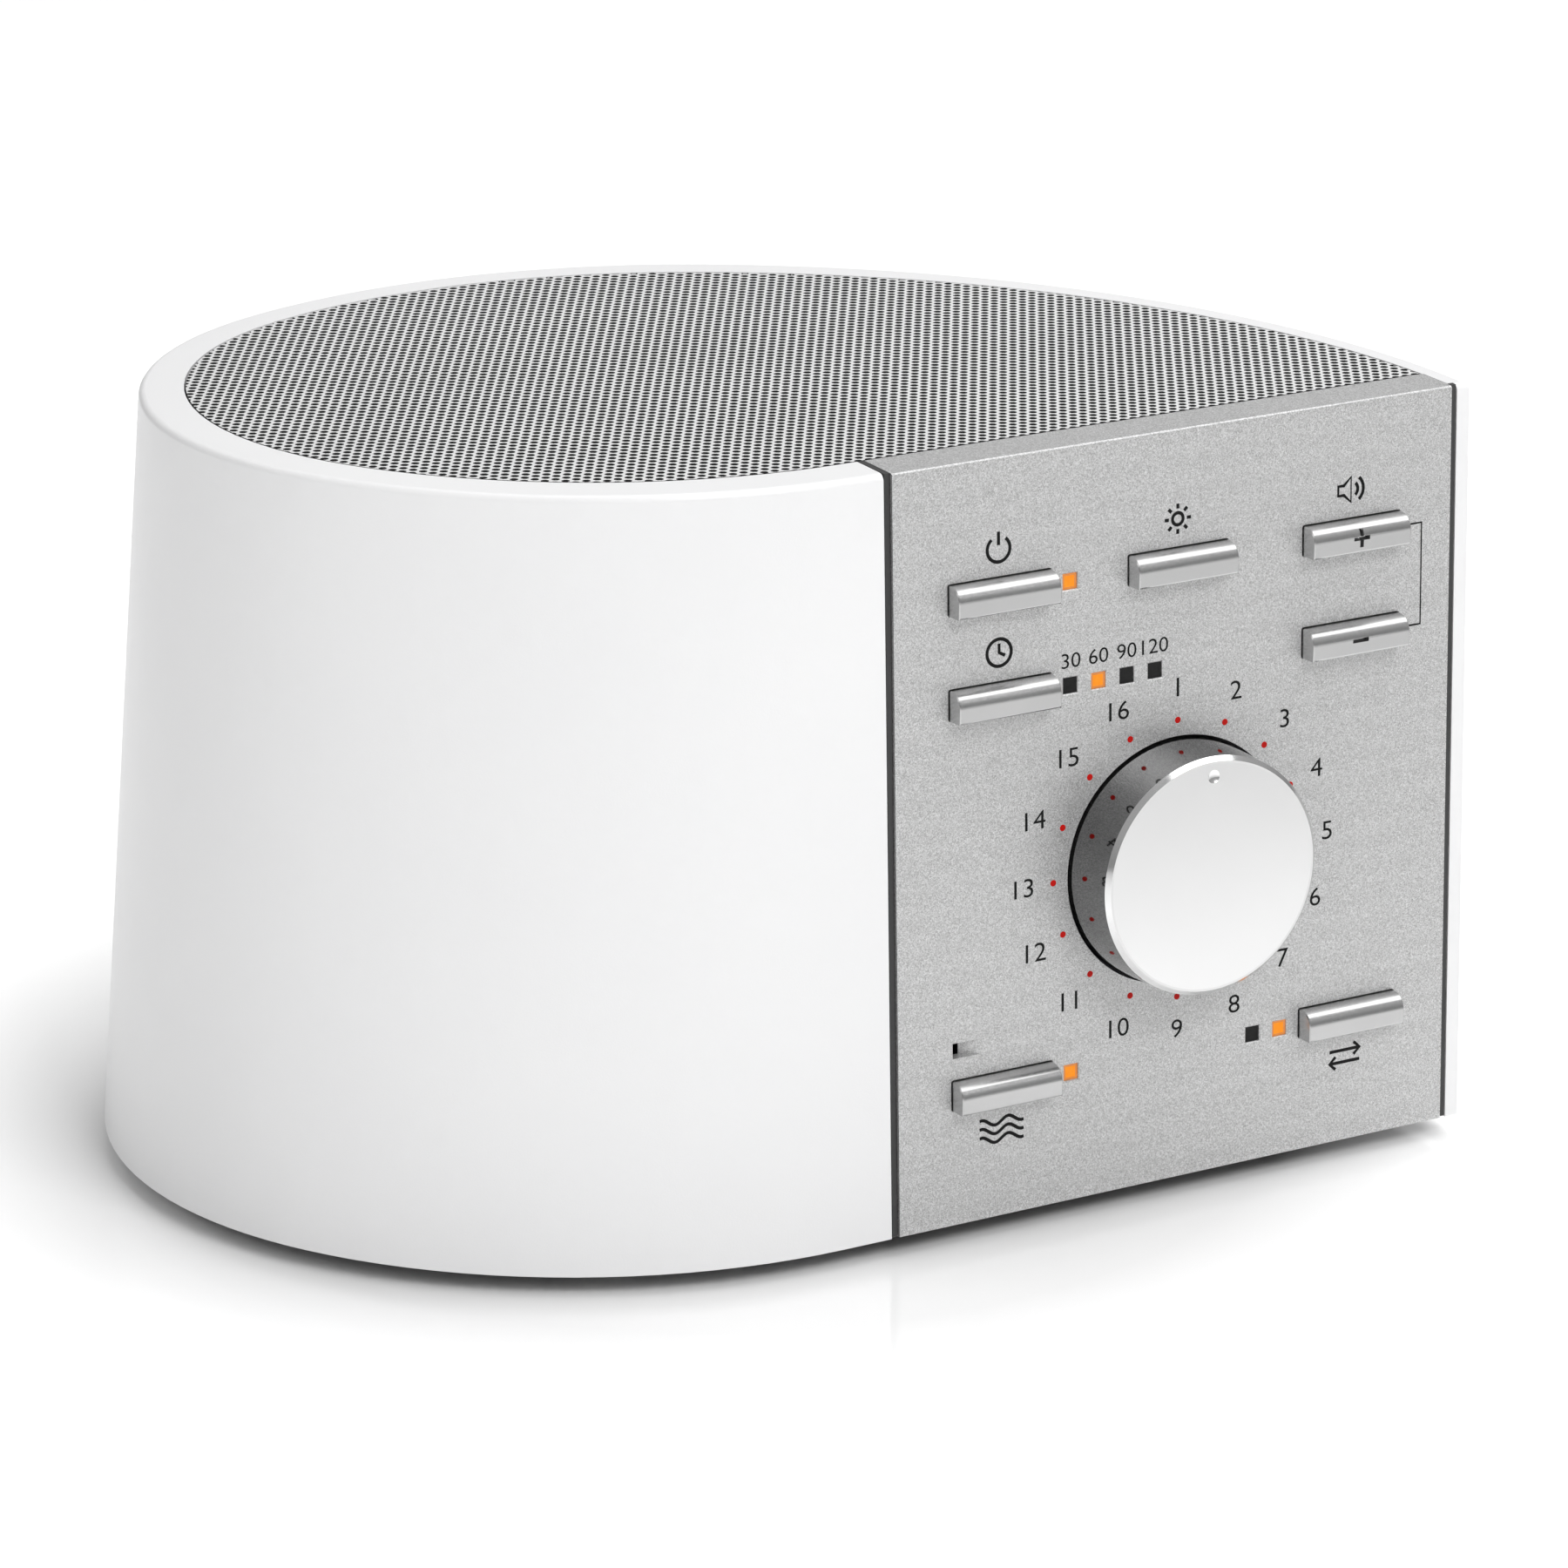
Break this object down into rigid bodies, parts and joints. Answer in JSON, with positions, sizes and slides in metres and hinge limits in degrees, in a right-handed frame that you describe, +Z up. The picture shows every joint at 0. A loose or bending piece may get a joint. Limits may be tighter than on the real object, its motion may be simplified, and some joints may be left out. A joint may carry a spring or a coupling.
{
  "type": "white_noise_sound_machine",
  "caption": "Bedside white noise sound machine: flared white egg-shaped housing, perforated top grille, silver panel with chrome keys and a large dial.",
  "frame": {"origin": "centre of the bounding box's footprint, on the table under the feet", "axes": "+X to the right along the control panel, -Y out of the panel towards the user, +Z up"},
  "size_m": [0.1655, 0.1341, 0.1048],
  "materials": {
    "body_white": "satin moulded plastic, warm white",
    "carrier_grey": "fine matt moulded plastic, dark grey",
    "panel_silver": "fine metallic silver paint on plastic, low sparkle",
    "grille_silver": "satin silver paint on perforated sheet steel",
    "button_chrome": "bright plating over moulded plastic",
    "dial_chrome": "bright plating on the dial's side and bevel",
    "dial_satin": "fine spun satin disc",
    "lens_lit": "clear tinted light pipe, lit amber",
    "lens_dark": "clear tinted light pipe, unlit",
    "cloth_black": "thin woven acoustic cloth",
    "plastic_black": "matt moulded plastic",
    "plastic_white": "matt moulded plastic",
    "rubber_black": "matt",
    "steel_plated": "zinc plated",
    "ferrite_dark": "sintered ferrite, matt",
    "copper_coil": "enamelled winding",
    "cone_grey": "pressed pulp, matt",
    "board_green": "solder mask over laminate",
    "ribbon_grey": "flat cable"
  },
  "bodies": {
    "cabinet": {"housing": "body_white", "base_plate": "body_white", "connector_tray": "carrier_grey", "panel_carrier": "carrier_grey", "control_panel": "panel_silver", "top_grille": "grille_silver", "dust_cloth": "cloth_black", "speaker_baffle": "plastic_black", "speaker_gasket": "rubber_black", "speaker_frame": "steel_plated", "speaker_top_plate": "steel_plated", "speaker_magnet": "ferrite_dark", "speaker_yoke": "steel_plated", "speaker_voice_coil": "copper_coil", "speaker_cone": "cone_grey", "speaker_surround": "rubber_black", "speaker_dust_cap": "cone_grey", "speaker_screws": "steel_plated", "speaker_terminals": "plastic_black", "speaker_leads": "plastic_black", "lit_indicator_lenses": "lens_lit", "dark_indicator_lenses": "lens_dark", "led_emitters": "plastic_white", "tact_switches": "plastic_black", "microphone": "steel_plated", "microphone_boot": "rubber_black", "encoder_body": "steel_plated", "encoder_nut": "steel_plated", "control_board": "board_green", "control_board_screws": "steel_plated", "main_board": "board_green", "main_board_screws": "steel_plated", "board_chips": "plastic_black", "board_capacitors": "plastic_black", "board_sockets": "plastic_white", "panel_ribbon_cable": "ribbon_grey", "base_screws": "steel_plated", "rubber_feet": "rubber_black", "power_jack": "plastic_black", "headphone_jack": "plastic_black"},
    "dial": {"dial_knob": "dial_chrome", "dial_face": "dial_satin", "encoder_shaft": "steel_plated"},
    "power": {"power_button": "button_chrome", "power_switch_plunger": "plastic_black"},
    "display": {"display_button": "button_chrome", "display_switch_plunger": "plastic_black"},
    "volume_up": {"volume_up_button": "button_chrome", "volume_up_switch_plunger": "plastic_black"},
    "volume_down": {"volume_down_button": "button_chrome", "volume_down_switch_plunger": "plastic_black"},
    "timer": {"timer_button": "button_chrome", "timer_switch_plunger": "plastic_black"},
    "adaptive": {"adaptive_button": "button_chrome", "adaptive_switch_plunger": "plastic_black"},
    "selection": {"selection_button": "button_chrome", "selection_switch_plunger": "plastic_black"}
  },
  "joints": [
    {"name": "dial_turn", "type": "hinge", "parent": "cabinet", "child": "dial", "pos_m": [0.0373, -0.05801, 0.04708], "axis": [0, -0.9995, 0.0314], "continuous": true},
    {"name": "power_press", "type": "slide", "parent": "cabinet", "child": "power", "axis": [0, 0.9995, -0.0314], "range_m": [0, 0.0005], "stiffness_N_per_m": 1500, "springref_m": -0.0003},
    {"name": "display_press", "type": "slide", "parent": "cabinet", "child": "display", "axis": [0, 0.9995, -0.0314], "range_m": [0, 0.0005], "stiffness_N_per_m": 1500, "springref_m": -0.0003},
    {"name": "volume_up_press", "type": "slide", "parent": "cabinet", "child": "volume_up", "axis": [0, 0.9995, -0.0314], "range_m": [0, 0.0005], "stiffness_N_per_m": 1500, "springref_m": -0.0003},
    {"name": "volume_down_press", "type": "slide", "parent": "cabinet", "child": "volume_down", "axis": [0, 0.9995, -0.0314], "range_m": [0, 0.0005], "stiffness_N_per_m": 1500, "springref_m": -0.0003},
    {"name": "timer_press", "type": "slide", "parent": "cabinet", "child": "timer", "axis": [0, 0.9995, -0.0314], "range_m": [0, 0.0005], "stiffness_N_per_m": 1500, "springref_m": -0.0003},
    {"name": "adaptive_press", "type": "slide", "parent": "cabinet", "child": "adaptive", "axis": [0, 0.9995, -0.0314], "range_m": [0, 0.0005], "stiffness_N_per_m": 1500, "springref_m": -0.0003},
    {"name": "selection_press", "type": "slide", "parent": "cabinet", "child": "selection", "axis": [0, 0.9995, -0.0314], "range_m": [0, 0.0005], "stiffness_N_per_m": 1500, "springref_m": -0.0003}
  ]
}
